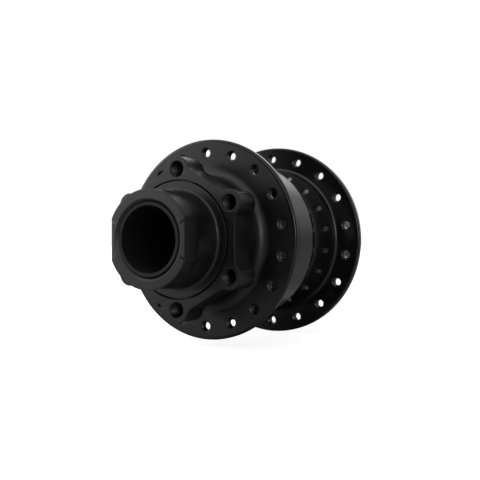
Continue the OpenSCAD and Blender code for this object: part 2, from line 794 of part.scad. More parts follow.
// Rubber seals: one in the mouth of the shell, one in the end of the freehub
module hub_lip_seal() {
    color("#141414") turned() polygon([
        [mouth_r - press_gap, ratchet_end_y + 0.7],
        [mouth_r - press_gap, shell_end_y - 0.3],
        [mouth_r - 1.4, shell_end_y - 0.3],
        [seal_neck_r + run_gap, shell_end_y - 0.9],
        [seal_neck_r + run_gap, shell_end_y - 1.5],
        [mouth_r - 2, ratchet_end_y + 1.5],
        [mouth_r - 2, ratchet_end_y + 0.7]
    ]);
}
module freehub_end_seal() {
    color("#141414") ring(
        drive_cap_hub_r + run_gap, lock_thread_r - press_gap,
        needle_y + needle_w + 0.1, needle_y + needle_w + end_seal_l
    );
}

axle();
disc_end_cap();
disc_cap_o_ring();
drive_end_cap();
drive_cap_o_ring();
disc_bearing_inner_race();
drive_bearing_inner_race();
bearing_spacer();
freehub_bearing_inner_race();
bearing_lock_nut();
hub_shell();
ratchet_ring();
disc_bearing_outer_race();
disc_bearing_seals();
drive_bearing_outer_race();
drive_bearing_seals();
hub_lip_seal();
disc_bearing_balls();
disc_bearing_cage();
drive_bearing_balls();
drive_bearing_cage();
freehub_body();
freehub_bearing_outer_race();
freehub_bearing_seals();
freehub_circlip();
needle_bearing_cup();
freehub_end_seal();
pawl_springs();
freehub_bearing_balls();
freehub_bearing_cage();
needle_rollers();
needle_cage();
pawl_1();
pawl_2();
pawl_3();
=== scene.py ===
"""Bicycle rear hub: the finished surfaces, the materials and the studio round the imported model."""

import math

import bmesh
import bpy
import numpy as np
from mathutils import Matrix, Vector


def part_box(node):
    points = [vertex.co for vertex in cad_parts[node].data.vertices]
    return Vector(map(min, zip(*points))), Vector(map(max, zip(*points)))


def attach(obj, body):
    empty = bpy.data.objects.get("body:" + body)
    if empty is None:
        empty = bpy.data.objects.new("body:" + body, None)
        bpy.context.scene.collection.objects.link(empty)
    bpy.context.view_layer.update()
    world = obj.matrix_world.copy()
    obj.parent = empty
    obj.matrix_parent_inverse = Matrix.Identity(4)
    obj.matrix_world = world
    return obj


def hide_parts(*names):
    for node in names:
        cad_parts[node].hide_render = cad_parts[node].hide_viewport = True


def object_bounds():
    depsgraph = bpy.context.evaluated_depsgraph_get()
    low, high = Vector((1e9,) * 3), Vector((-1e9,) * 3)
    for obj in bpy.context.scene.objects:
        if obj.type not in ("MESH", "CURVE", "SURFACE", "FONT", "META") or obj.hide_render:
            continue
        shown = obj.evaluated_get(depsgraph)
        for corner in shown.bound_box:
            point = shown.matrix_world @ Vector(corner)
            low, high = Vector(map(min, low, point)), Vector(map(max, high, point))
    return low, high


bl_info = {
    "name": "Bicycle rear hub",
    "version": (1, 0, 0),
    "blender": (4, 5, 0),
    "location": "3D View > Sidebar > Rear hub",
    "description": "Builds the surfaces, finishes and studio of a bicycle rear hub",
    "category": "Add Mesh",
}

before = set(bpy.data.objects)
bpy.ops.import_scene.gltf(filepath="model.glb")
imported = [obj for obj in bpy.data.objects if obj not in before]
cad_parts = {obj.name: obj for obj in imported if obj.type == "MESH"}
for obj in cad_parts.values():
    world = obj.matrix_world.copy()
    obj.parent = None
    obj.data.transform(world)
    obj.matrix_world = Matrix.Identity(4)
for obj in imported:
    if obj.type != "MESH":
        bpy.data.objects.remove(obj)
CAD_BOX = [list(corner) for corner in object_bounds()]

MM = 0.001
TURN = 2 * math.pi
SHELL_LOW, SHELL_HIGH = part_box("hub_shell")
CAP_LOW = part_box("disc_end_cap")[0]

# The numbers from here to the first function are lengths in millimetres, counts or shares, if not said
LOBES = 6
SPOKES = 18
STEPS_PER_SPOKE = 12
ROUND = SPOKES * STEPS_PER_SPOKE  # points of each of the shell's rings, which meet point on point
SIDE_STEPS = 6  # steps along each side of a hole's sector
HALF_LOBE = math.pi / LOBES  # radians
HALF_SPOKE = math.pi / SPOKES  # radians

# Profiles
WIDE_ROUNDING = 1.5
WIDE_STEP, NARROW_STEP = 5, 12  # degrees between the points of roundings over and up to the wide one
STRAIGHT = 0.01  # radians below which a corner's bend is no corner
MARGIN = 0.2  # how far beside a rounding its further point lies
MARGIN_SHARE = 0.25  # the most that this may be of the free side
LEAST_MARGIN = 0.02  # the least for which there is a point at all

# Meshes
WELD = 0.002 * MM  # metres within which points are one
SPECK = 0.001 * MM  # metres below which an edge goes
SHARP = math.radians(40)  # radians beyond which an edge is shaded sharp
PATCH_SHARES = (0, 0.04, 0.12, 0.3, 0.55, 0.8, 0.95, 1)  # a patch's rings, from hole to boundary

# A spoke hole's rings
SINK_RINGS = ((0.12, 0), (0.04, 0.015), (-0.05, 0.09))  # (outside the countersink's radius, depth)
HOLE_RINGS = ((0.13, 0.42), (0.04, 0.53), (0, 0.68), (0, 0.85))  # (outside the hole's radius, depth)

# A disc bolt's hole
BOLT_MOUTH = 0.28  # how far its mouth lies outside its wall
BOLT_LIP = ((0, 0), (0.03, 0.015), (0.09, 0.05), (0.17, 0.13))  # (inside the mouth's radius, depth)
BOLT_LEAD = ((0.03, 0.32), (0, 0.45))  # (outside the hole's radius, depth)
BOLT_PLAIN = 0.6  # length without thread at each end
THREAD_PITCH, THREAD_DEPTH = 0.8, 0.3
DRILL_SLOPE = 0.6  # depth of the drill point for each millimetre of its radius

# The disc mount
MOUTH_R = 18.8  # radius of the bore at its face
FRONT_ROUND, BACK_ROUND = 0.2, 0.5  # roundings of its edges
EDGE_MARGIN = 0.1  # how far beside them the wall's own points lie
EDGE_STEPS, BLEND_STEPS, NOSE_STEPS = 4, 5, 11  # steps of an edge, a blend's arc and half a lobe's
SIDE_SHARE = 0.55  # where half a straight side has its one point between

# The neck behind the mount
FADE_START, FADE_WIDTH = 0.1, 1.2  # outside the neck: where the back edge's rounding starts to grow
NECK_STEP, NECK_CORNER = (0.2, 0), (0.05, 0.12)  # its front corner's rings: (outside it, depth)
LEAST_STEP = 0.03  # the least width of the mount's back face
NECK_START, NECK_ROUNDING = 0.35, 3.6  # depth of its first own ring, and its fillet into the flange
EVEN_AFTER = 1.15  # its points are evenly spaced after one part in this many of its line

# The flanges
DISC_RING_R, DRIVE_RING_R = 26.6, 28.4  # where their flat rings start
DISC_RIM_ROUND, DRIVE_RIM_ROUND = 0.8, 0.7
RIM_STRIP = 0.3  # level strip between the holes' sectors and a rim's rounding
BACK_STEP = 0.1  # how much further back the drive flange's back lies

SEAT_R = 18.52  # radius of the shell's bearing seats

# The barrel: its root behind the disc flange, its cylinder, and the drum beside the drive flange
ROOT_L, ROOT_ROUNDING, ROOT_END_ROUNDING = 2.6, 2.5, 2.0
BARREL_START, BARREL_END, BARREL_ROUNDING = -23.4, -12.7, 2.5
DRUM_R, DRUM_START, DRUM_END_R, DRUM_ROUNDING = 25.85, -6.5, 26.83, 1.4

# The disc-side end cap
CAP_BORE_R, CAP_CHAMFER = 11.3, 0.8
SHIELD_R, SHIELD_T = 18.25, 1.8  # the shield over the bearing
FOOT_R, FOOT_L = 13.6, 2.4  # the shield's foot against the inner race
CAP_ROUND = 180  # even points round it
FLAT_EDGE = (-0.02, -0.008, 0, 0.008, 0.02)  # radians from a flat's edge to the extra points there
FLAT_RUN_OUT = 0.6  # how far behind the nose the flats still cut
LEAST_COSINE = 0.2  # keeps the flats' formula away from its poles, far outside the cap
EASE, EASE_L = 0.12, 0.15  # how deep and over what length the flats' front edge is eased


def size_property(name, description, default, low=-100.0, high=100.0, **more):
    """A size in millimetres, or an angle, that a user may change"""
    return bpy.props.FloatProperty(
        name=name, description=description, default=default, min=low, max=high, **more
    )


class HubSizes(bpy.types.PropertyGroup):
    """Sizes of the hub's surfaces in millimetres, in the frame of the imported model"""

    mount_y: size_property(
        "Disc mount face", "Place of the disc mount's face along the axle", SHELL_LOW.y / MM
    )
    shell_end_y: size_property(
        "Shell end", "Place of the shell's drive end along the axle", SHELL_HIGH.y / MM
    )
    rim_r: size_property(
        "Drive flange radius", "Radius of the larger flange, on the drive side",
        SHELL_HIGH.x / MM, 34, 38,
    )
    mount_t: size_property("Disc mount depth", "Thickness of the lobed disc mount", 9.2, 8, 10)
    mount_af: size_property(
        "Disc mount flats", "Width of the mount over its straight sides", 42.3, 41, 44
    )
    bolt_circle_r: size_property("Bolt circle radius", "Radius of the circle of disc bolts", 22, 21, 23)
    lobe_r: size_property("Lobe radius", "Radius of the lobe round each disc bolt", 4.1, 3.4, 4.4)
    lobe_blend_r: size_property("Lobe blend", "Radius between a lobe and a straight side", 3, 2, 4)
    bolt_r: size_property("Bolt hole radius", "Radius of a disc bolt hole", 2.4, 2, 2.6)
    bolt_depth: size_property(
        "Bolt hole depth", "Depth of a bolt hole before its drill point", 7.4, 6, 8
    )
    neck_r: size_property("Neck radius", "Radius of the neck behind the disc mount", 20.6, 20, 22)
    disc_flange_y: size_property("Disc flange place", "Middle of the disc flange along the axle", -35)
    disc_flange_t: size_property("Disc flange thickness", "Thickness of the disc flange", 2.6, 2, 4)
    disc_spoke_r: size_property(
        "Disc spoke circle radius", "Radius of the disc flange's spoke circle", 28.8, 27, 30
    )
    disc_rim_r: size_property("Disc flange radius", "Radius of the disc flange", 33.3, 32, 35)
    disc_lean: size_property(
        "Disc flange lean", "How far the disc flange leans away from square", 0, 0, 0.15,
        subtype="ANGLE",
    )
    drive_flange_y: size_property(
        "Drive flange place", "Middle of the drive flange along the axle", 11.7
    )
    drive_flange_t: size_property("Drive flange thickness", "Thickness of the drive flange", 3, 2, 4)
    drive_spoke_r: size_property(
        "Drive spoke circle radius", "Radius of the drive flange's spoke circle", 31.45, 30, 33
    )
    drive_lean: size_property(
        "Drive flange lean", "How far the drive flange's inner face leans", math.radians(3), 0, 0.15,
        subtype="ANGLE",
    )
    spoke_r: size_property("Spoke hole radius", "Radius of a spoke hole", 1.3, 1.1, 1.5)
    sink_r: size_property("Countersink radius", "Radius of a spoke hole's countersink", 1.8, 1.5, 2.2)
    barrel_r: size_property("Barrel radius", "Radius of the barrel at its widest", 28, 26, 29)
    root_r: size_property(
        "Barrel root radius", "Radius of the barrel behind the disc flange", 23, 22, 24
    )
    cap_r: size_property("End cap radius", "Radius of the disc-side end cap's nose", 15, 14, 16)
    cap_flat: size_property(
        "Cap flat", "Distance from the axis to each wrench flat of the cap", 13.5, 12.5, 14
    )
    cap_nose_l: size_property("Cap nose length", "Length of the end cap's nose", 6.4, 5, 8)


def linear(hex_text):
    """The linear light of an sRGB hex colour, by the sRGB curve"""
    srgb = np.array([int(hex_text[i:i + 2], 16) for i in (1, 3, 5)]) / 255
    return tuple(np.where(srgb <= 0.04045, srgb / 12.92, ((srgb + 0.055) / 1.055) ** 2.4).tolist())


def colour_property(name, description, hex_text):
    """A colour that a user may change, given by its sRGB hex value"""
    return bpy.props.FloatVectorProperty(
        name=name, description=description, subtype="COLOR", size=3, min=0, max=1,
        default=linear(hex_text),
    )


class HubColours(bpy.types.PropertyGroup):
    """Colours of the hub's finishes"""

    anodise: colour_property("Black anodise", "Dyed oxide of the shell and the end caps", "#0a0a0b")
    freehub: colour_property("Hard anodise", "Grey-black oxide of the freehub body", "#2a2a2c")
    steel: colour_property("Bearing steel", "Ground steel of the bearing races", "#b9bbbe")
    hard_steel: colour_property("Hardened steel", "Steel of the ratchet ring and the pawls", "#7c7e82")
    aluminium: colour_property(
        "Bare aluminium", "Turned aluminium of the spacer and lock nut", "#c3c5c8"
    )
    rubber: colour_property("Rubber", "Black rubber of the seals and rings", "#141414")
    seal: colour_property("Bearing seal", "Red-brown rubber of the bearing seals", "#5a2a22")
    nylon: colour_property("Cage nylon", "Tan nylon of the ball cages", "#b49a6c")


def corner_profile(corners):
    """Points of a profile through corners of (radius, place, rounding).
    Each corner turns into the arc of its rounding that touches both sides: the arc's centre lies on the
    bisector, at rounding / sin(half angle), and its points swing evenly from one side to the other.
    A further point a little way along each side keeps the shading of the straight part flat."""
    points = [np.array(corners[0][:2], float)]
    for before, corner, after in zip(corners, corners[1:], corners[2:]):
        here = np.array(corner[:2], float)
        to_before = np.array(before[:2]) - here
        to_after = np.array(after[:2]) - here
        span = min(np.linalg.norm(to_before), np.linalg.norm(to_after))
        to_before = to_before / np.linalg.norm(to_before)
        to_after = to_after / np.linalg.norm(to_after)
        angle = math.acos(float(np.clip(to_before @ to_after, -1, 1)))
        rounding = corner[2]
        if rounding <= 0 or angle > math.pi - STRAIGHT:
            points.append(here)
            continue
        cut = rounding / math.tan(angle / 2)
        bisector = (to_before + to_after) / np.linalg.norm(to_before + to_after)
        centre = here + bisector * rounding / math.sin(angle / 2)
        swing = math.pi - angle
        step = WIDE_STEP if rounding > WIDE_ROUNDING else NARROW_STEP
        steps = max(3, math.ceil(math.degrees(swing) / step))
        share = np.linspace(0, 1, steps + 1)[:, None]
        start = here + to_before * cut - centre
        end = here + to_after * cut - centre
        arc = np.sin((1 - share) * swing) * start + np.sin(share * swing) * end
        arc = centre + arc / math.sin(swing)
        margin = min(MARGIN, MARGIN_SHARE * max(span - cut, 0))
        if margin > LEAST_MARGIN:
            points.append(here + to_before * (cut + margin))
        points.extend(arc)
        if margin > LEAST_MARGIN:
            points.append(here + to_after * (cut + margin))
    points.append(np.array(corners[-1][:2], float))
    return np.array(points)


def directions(turns):
    """The unit vectors (cos t, sin t) at some angles"""
    return np.stack([np.cos(turns), np.sin(turns)], axis=-1)


def around(radius, place, turns):
    """Points at a radius and a place along the axle, at angles round it: (r cos t, y, r sin t)"""
    radius, place, turns = np.broadcast_arrays(radius, place, turns)
    return np.stack([radius * np.cos(turns), place, radius * np.sin(turns)], axis=-1)


def revolved(profile, turns):
    """A profile of radius and place carried round the axle, one ring of points for each profile point"""
    return around(profile[:, 0, None], profile[:, 1, None], turns[None, :])


def even_turns(count):
    """Angles evenly spaced round the axle"""
    return np.arange(count) * TURN / count


def grid_faces(rows, columns):
    """Quads between neighbours on a grid of points whose last column joins the first"""
    row = np.arange(rows - 1)[:, None] * columns
    column = np.arange(columns)[None, :]
    following = (column + 1) % columns
    corners = [row + column, row + following, row + columns + following, row + columns + column]
    return np.stack(corners, axis=-1).reshape(-1, 4)


def spun(points, turn):
    """Points turned about the axle: (x cos t - z sin t, y, x sin t + z cos t)"""
    c, s = math.cos(turn), math.sin(turn)
    x, y, z = np.moveaxis(points, -1, 0)
    return np.stack([x * c - z * s, y, x * s + z * c], axis=-1)


def copies_round(points, count, first_turn=0.0):
    """Copies of one sheet of points, evenly spaced round the axle"""
    return [spun(points, first_turn + k * TURN / count) for k in range(count)]


def piece(name, surfaces, materials, body):
    """One mesh from grids of points in millimetres. Each surface is (points, material number), closed
    round its columns. Shared edges are welded, and faces are turned to point outwards."""
    verts, faces, numbers = [], [], []
    offset = 0
    for points, number in surfaces:
        rows, columns = points.shape[:2]
        verts.append(points.reshape(-1, 3) * MM)
        faces.append(grid_faces(rows, columns) + offset)
        numbers.append(np.full(len(faces[-1]), number))
        offset += rows * columns
    mesh = bpy.data.meshes.new(name)
    mesh.from_pydata(np.concatenate(verts), [], np.concatenate(faces).tolist())
    mesh.polygons.foreach_set("material_index", np.concatenate(numbers).astype(np.int32))
    work = bmesh.new()
    work.from_mesh(mesh)
    bmesh.ops.remove_doubles(work, verts=work.verts, dist=WELD)
    bmesh.ops.dissolve_degenerate(work, edges=work.edges, dist=SPECK)
    bmesh.ops.recalc_face_normals(work, faces=work.faces)
    work.to_mesh(mesh)
    open_edges = sum(1 for edge in work.edges if len(edge.link_faces) != 2)
    work.free()
    print(f"{name}: {len(mesh.vertices)} points, {len(mesh.polygons)} faces, {open_edges} open edges")
    mesh.polygons.foreach_set("use_smooth", np.ones(len(mesh.polygons), bool))
    mesh.set_sharp_from_angle(angle=SHARP)
    made = bpy.data.objects.new(name, mesh)
    bpy.context.scene.collection.objects.link(made)
    for material in materials:
        made.data.materials.append(material)
    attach(made, body)
    return made


def add_node(tree, kind, settings=None, inputs=None):
    """One node of a kind, with its settings, and inputs that are values or the sockets that feed them"""
    made = tree.nodes.new(kind)
    for key, value in (settings or {}).items():
        setattr(made, key, value)
    for key, value in (inputs or {}).items():
        if isinstance(value, bpy.types.NodeSocket):
            tree.links.new(value, made.inputs[key])
        else:
            made.inputs[key].default_value = value
    return made


def object_vector(tree):
    """The piece's own coordinates"""
    return add_node(tree, "ShaderNodeTexCoord").outputs["Object"]


def lathe_vector(tree):
    """Coordinates that stay the same all round the axle: (radius, place along it, 0), so a noise on them
    gives the rings that a turning tool leaves"""
    split = add_node(tree, "ShaderNodeSeparateXYZ", inputs={0: object_vector(tree)})
    across = add_node(tree, "ShaderNodeCombineXYZ", inputs={0: split.outputs[0], 2: split.outputs[2]})
    radius = add_node(tree, "ShaderNodeVectorMath", {"operation": "LENGTH"}, {0: across.outputs[0]})
    rings = add_node(tree, "ShaderNodeCombineXYZ", inputs={
        0: radius.outputs["Value"], 1: split.outputs[1]})
    return rings.outputs[0]


def varied(tree, shader, colour, roughness, vector, size_mm, colour_spread, roughness_spread):
    """Soft cloudy change of colour and roughness, with patches of a size in millimetres"""
    cloud = add_node(tree, "ShaderNodeTexNoise", inputs={
        "Vector": vector, "Scale": 1 / (size_mm * MM), "Detail": 3.0, "Roughness": 0.6})
    low = tuple(c * (1 - colour_spread) for c in colour)
    high = tuple(min(1, c * (1 + colour_spread)) for c in colour)
    # A colour mix has its two colours on sockets 6 and 7, and its result on output 2
    tint = add_node(tree, "ShaderNodeMix", {"data_type": "RGBA"}, {
        0: cloud.outputs["Fac"], 6: (*low, 1), 7: (*high, 1)})
    tree.links.new(tint.outputs[2], shader.inputs["Base Color"])
    gloss = add_node(tree, "ShaderNodeMapRange", inputs={
        "Value": cloud.outputs["Fac"], "From Min": 0.3, "From Max": 0.7,
        "To Min": roughness - roughness_spread, "To Max": roughness + roughness_spread})
    tree.links.new(gloss.outputs["Result"], shader.inputs["Roughness"])


def grained(tree, shader, vector, size_mm, depth_mm):
    """Fine relief of a grain size and a depth in millimetres"""
    grain = add_node(tree, "ShaderNodeTexNoise", inputs={
        "Vector": vector, "Scale": 1 / (size_mm * MM), "Detail": 2.0, "Roughness": 0.55})
    bump = add_node(tree, "ShaderNodeBump", inputs={
        "Height": grain.outputs["Fac"], "Strength": 1.0, "Distance": depth_mm * MM})
    tree.links.new(bump.outputs["Normal"], shader.inputs["Normal"])


def finish(name, colour_name, metallic, roughness, clouds, grain=None, ior=None):
    """A material with one Principled shader, whose constants sit on its own sockets.
    Clouds are (coordinates, size in mm, share by which the colour varies, change of the roughness), and
    the grain is (coordinates, size in mm, depth in mm)."""
    colour = tuple(getattr(bpy.context.scene.hub_colours, colour_name))
    material = bpy.data.materials.new(name)
    material.use_nodes = True
    tree = material.node_tree
    shader = tree.nodes["Principled BSDF"]
    shader.inputs["Base Color"].default_value = (*colour, 1)
    shader.inputs["Metallic"].default_value = metallic
    shader.inputs["Roughness"].default_value = roughness
    if ior:
        shader.inputs["IOR"].default_value = ior
    varied(tree, shader, colour, roughness, clouds[0](tree), *clouds[1:])
    if grain:
        grained(tree, shader, grain[0](tree), *grain[1:])
    return material


FINISHES = {
    # Aluminium blasted with fine beads, then dyed black in its oxide: a clear satin film over black, so
    # the highlights are soft and colourless. Bead dents are 0.05 mm wide, and drawn at 0.35 mm to show.
    "blasted": dict(
        name="blasted_black_anodised_aluminium", colour_name="anodise", metallic=0.0, roughness=0.34,
        ior=1.6, clouds=(object_vector, 5, 0.25, 0.03), grain=(object_vector, 0.35, 0.004)),
    # The same oxide on a surface left bright by the lathe: sharper reflections, faint rings 0.4 mm apart
    "turned": dict(
        name="turned_black_anodised_aluminium", colour_name="anodise", metallic=0.0, roughness=0.16,
        ior=1.6, clouds=(object_vector, 9, 0.2, 0.02), grain=(lathe_vector, 0.4, 0.0006)),
    # The same oxide on a drawn and deburred tube: dull, with a 0.3 mm grain
    "dull": dict(
        name="dull_black_anodised_aluminium", colour_name="anodise", metallic=0.0, roughness=0.62,
        clouds=(object_vector, 3, 0.2, 0.04), grain=(object_vector, 0.3, 0.003)),
    # Freehub body: thick grey-black oxide on turned aluminium, matt, with fine lathe rings 0.25 mm apart
    "hard_anodise": dict(
        name="hard_anodised_aluminium", colour_name="freehub", metallic=0.0, roughness=0.42, ior=1.6,
        clouds=(object_vector, 6, 0.15, 0.04), grain=(lathe_vector, 0.25, 0.002)),
    # Bearing races: hard chrome steel, ground and nearly bright, with grinding rings 0.15 mm apart
    "ground_steel": dict(
        name="ground_bearing_steel", colour_name="steel", metallic=1.0, roughness=0.22,
        clouds=(lathe_vector, 0.6, 0.06, 0.04), grain=(lathe_vector, 0.15, 0.001)),
    # Balls and rollers: lapped to a mirror, with a trace of oil that clouds the gloss in patches of 2 mm
    "ball_steel": dict(
        name="lapped_ball_steel", colour_name="steel", metallic=1.0, roughness=0.07,
        clouds=(object_vector, 2, 0.04, 0.03)),
    # Ratchet and pawls: oil-quenched steel, grey-blue and uneven, 0.3 mm grain
    # The disc-side outer race gets this finish too, as painted shade: darker and duller than ground
    # steel, for the gap round the end cap's shield
    "hard_steel": dict(
        name="oil_quenched_steel", colour_name="hard_steel", metallic=1.0, roughness=0.38,
        clouds=(object_vector, 3, 0.2, 0.07), grain=(object_vector, 0.3, 0.003)),
    # Spacer and lock nut: turned aluminium with no oxide dye, bright, with rings 0.2 mm apart
    "aluminium": dict(
        name="turned_bare_aluminium", colour_name="aluminium", metallic=1.0, roughness=0.28,
        clouds=(lathe_vector, 0.5, 0.05, 0.04), grain=(lathe_vector, 0.2, 0.002)),
    # Seals and rings: nitrile rubber, matt, with the fine 0.2 mm grain of its mould
    "rubber": dict(
        name="moulded_nitrile_rubber", colour_name="rubber", metallic=0.0, roughness=0.62,
        clouds=(object_vector, 4, 0.2, 0.06), grain=(object_vector, 0.2, 0.003)),
    # Bearing seals: red-brown rubber bonded to a steel disc, satin, with a 0.25 mm grain
    "seal": dict(
        name="bonded_seal_rubber", colour_name="seal", metallic=0.0, roughness=0.5,
        clouds=(object_vector, 3, 0.15, 0.05), grain=(object_vector, 0.25, 0.002)),
    # Ball cages: tan glass-filled nylon, satin, with 0.4 mm flow marks
    "nylon": dict(
        name="glass_filled_nylon", colour_name="nylon", metallic=0.0, roughness=0.45,
        clouds=(object_vector, 1.5, 0.12, 0.06), grain=(object_vector, 0.4, 0.003)),
}
MATERIALS = {}


def finish_of(key):
    """The material of one finish, made once"""
    if key not in MATERIALS:
        MATERIALS[key] = finish(**FINISHES[key])
    return MATERIALS[key]


def paint(key, *nodes):
    """Gives CAD nodes a finish"""
    for name in nodes:
        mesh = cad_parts[name].data
        mesh.materials.clear()
        mesh.materials.append(finish_of(key))


def bolt_centre(size):
    """The first disc bolt's place (x, z)"""
    return size.bolt_circle_r * np.array([math.cos(HALF_LOBE), math.sin(HALF_LOBE)])


def mount_outline(size, inset):
    """The lobed mount's outline drawn in by an inset, as points (x, z) from angle 0 all round.
    Each sixth is half a straight side, a hollow blend arc, the lobe's arc, a blend arc and half a side.
    The blend's centre lies a blend radius outside the straight side, where it is a lobe plus a blend
    radius from the lobe's centre."""
    flat = size.mount_af / 2
    lobe, blend = size.lobe_r, size.lobe_blend_r
    off = flat + blend - size.bolt_circle_r * math.cos(HALF_LOBE)
    side = math.sqrt((lobe + blend) ** 2 - off ** 2)
    straight_end = size.bolt_circle_r * math.sin(HALF_LOBE) - side
    blend_start = -math.atan2(side, off)
    straight = np.array([[flat - inset, 0], [flat - inset, SIDE_SHARE * straight_end]])
    hollow = np.linspace(math.pi, math.pi + blend_start, BLEND_STEPS + 1)
    first = np.array([flat + blend, straight_end]) + (blend + inset) * directions(hollow)
    swing = np.linspace(blend_start, HALF_LOBE, NOSE_STEPS + 1)[1:]
    nose = bolt_centre(size) + (lobe - inset) * directions(swing)
    half = np.concatenate([straight, first, nose])
    mirror = np.array([
        [math.cos(2 * HALF_LOBE), math.sin(2 * HALF_LOBE)],
        [math.sin(2 * HALF_LOBE), -math.cos(2 * HALF_LOBE)],
    ])
    x, z = np.concatenate([half, (half[1:-1] @ mirror)[::-1]]).T
    turns = even_turns(LOBES)[:, None]
    outline = [x * np.cos(turns) - z * np.sin(turns), x * np.sin(turns) + z * np.cos(turns)]
    return np.stack(outline, axis=-1).reshape(-1, 2)


def sector_boundary(inner, outer, sides):
    """A closed loop round one sector: along the inner points, out along one side, back along the outer
    points and in along the other side"""
    share = np.linspace(0, 1, sides + 1)[1:-1, None]
    out = inner[-1] + (outer[-1] - inner[-1]) * share
    back = outer[0] + (inner[0] - outer[0]) * share
    return np.concatenate([inner, out, outer[::-1], back])


def hole_angles(boundary, centre):
    """The direction from a hole's centre to each point of the boundary round it, unwrapped"""
    away = boundary - centre
    return np.unwrap(np.arctan2(away[:, 1], away[:, 0]))


def patch(hole, boundary):
    """Rings of a flat patch: each point goes straight from its place on the hole to its place on the
    boundary, with close rings at both ends"""
    share = np.array(PATCH_SHARES)[:, None, None]
    return hole[None] + (boundary - hole)[None] * share


def lifted(points, place):
    """Points (x, z) given their place along the axle, which may depend on their radius"""
    radius = np.hypot(points[..., 0], points[..., 1])
    y = place(radius) if callable(place) else np.full(radius.shape, float(place))
    return np.stack([points[..., 0], y, points[..., 1]], axis=-1)


def leaning(place, middle_r, lean):
    """A flange's face as a function of radius: a cone that passes its place at a middle radius"""
    return lambda radius: place + (radius - middle_r) * math.tan(lean)


class Flange:
    """One flange: its two faces as functions of radius, and the flat ring in which its spoke holes lie.
    Each hole has a sector of the ring to itself."""

    def __init__(self, size, front, back, spoke_r, ring_r, rim_r, rim_rounding):
        self.size, self.front, self.back = size, front, back
        self.ring_r, self.rim_r, self.rim_rounding = ring_r, rim_r, rim_rounding
        self.edge_r = rim_r - rim_rounding - RIM_STRIP
        ring = directions(np.linspace(-HALF_SPOKE, HALF_SPOKE, STEPS_PER_SPOKE + 1))
        self.boundary = sector_boundary(ring * ring_r, ring * self.edge_r, SIDE_STEPS)
        self.centre = np.array([spoke_r, 0])
        self.angles = hole_angles(self.boundary, self.centre)

    def loop(self, radius):
        """A ring of points round the hole's centre"""
        return self.centre + directions(self.angles) * radius

    def face(self, place):
        """One face: a patch for each spoke hole"""
        flat = patch(self.loop(self.size.sink_r + SINK_RINGS[0][0]), self.boundary)
        return copies_round(lifted(flat, place), SPOKES, HALF_SPOKE)

    def lip(self, place, inwards):
        """Rings from a face down its countersink to the straight hole"""
        rings = [(self.size.sink_r + outside, depth) for outside, depth in SINK_RINGS]
        rings += [(self.size.spoke_r + outside, depth) for outside, depth in HOLE_RINGS]
        return np.array([
            lifted(self.loop(radius), place) + [0, inwards * depth, 0] for radius, depth in rings
        ])

    def holes(self):
        """All the spoke holes, from face to face"""
        tube = np.concatenate([self.lip(self.front, 1), self.lip(self.back, -1)[::-1]])
        return copies_round(tube, SPOKES, HALF_SPOKE)

    def rim(self):
        """The profile round the rim, from the front face to the back"""
        return corner_profile([
            (self.edge_r, self.front(self.edge_r), 0),
            (self.rim_r, self.front(self.rim_r), self.rim_rounding),
            (self.rim_r, self.back(self.rim_r), self.rim_rounding),
            (self.edge_r, self.back(self.edge_r), 0),
        ])


def disc_flange(size):
    """The flange behind the disc mount. Both its faces lean alike."""
    half = size.disc_flange_t / 2
    front = leaning(size.disc_flange_y - half, size.disc_spoke_r, size.disc_lean)
    back = leaning(size.disc_flange_y + half, size.disc_spoke_r, size.disc_lean)
    return Flange(
        size, front, back, size.disc_spoke_r, DISC_RING_R, size.disc_rim_r, DISC_RIM_ROUND
    )


def drive_flange(size):
    """The larger flange. Its front leans and its back is square to the axle."""
    half = size.drive_flange_t / 2
    front = leaning(size.drive_flange_y - half, size.drive_spoke_r, size.drive_lean)
    back = leaning(size.drive_flange_y + half + BACK_STEP, size.drive_spoke_r, 0)
    return Flange(
        size, front, back, size.drive_spoke_r, DRIVE_RING_R, size.rim_r, DRIVE_RIM_ROUND
    )


def bolt_holes(size, angles, mouth):
    """The six M5 bolt holes of the disc mount: a rounded mouth, a thread whose wall goes in and out once
    a pitch, and a drill point, with the ring of angles of the face's patch"""
    hole, depth = size.bolt_r, size.bolt_depth
    lead = np.arange(BOLT_PLAIN, depth - BOLT_PLAIN, THREAD_PITCH / 3)
    wave = hole - THREAD_DEPTH * np.abs(np.sin(math.pi * (lead - lead[0]) / THREAD_PITCH))
    rings = [(mouth - inside, place) for inside, place in BOLT_LIP]
    rings += [(hole + outside, place) for outside, place in BOLT_LEAD]
    rings += zip(wave, lead)
    rings += [
        (hole - THREAD_DEPTH, depth),
        (hole / 2, depth + DRILL_SLOPE * hole / 2),
        (0, depth + DRILL_SLOPE * hole),
    ]
    hole_points = np.array([
        lifted(bolt_centre(size) + directions(angles) * radius, size.mount_y + place)
        for radius, place in rings
    ])
    return copies_round(hole_points, LOBES)


def mount_front(size):
    """The disc mount's front face, with a patch round each bolt hole, and the holes"""
    per_lobe = ROUND // LOBES
    inner = MOUTH_R * directions(np.linspace(0, TURN / LOBES, per_lobe + 1))
    outer = mount_outline(size, FRONT_ROUND)[:per_lobe + 1]
    boundary = sector_boundary(inner, outer, SIDE_STEPS)
    angles = hole_angles(boundary, bolt_centre(size))
    mouth = size.bolt_r + BOLT_MOUTH
    face = lifted(patch(bolt_centre(size) + mouth * directions(angles), boundary), size.mount_y)
    return copies_round(face, LOBES) + bolt_holes(size, angles, mouth)


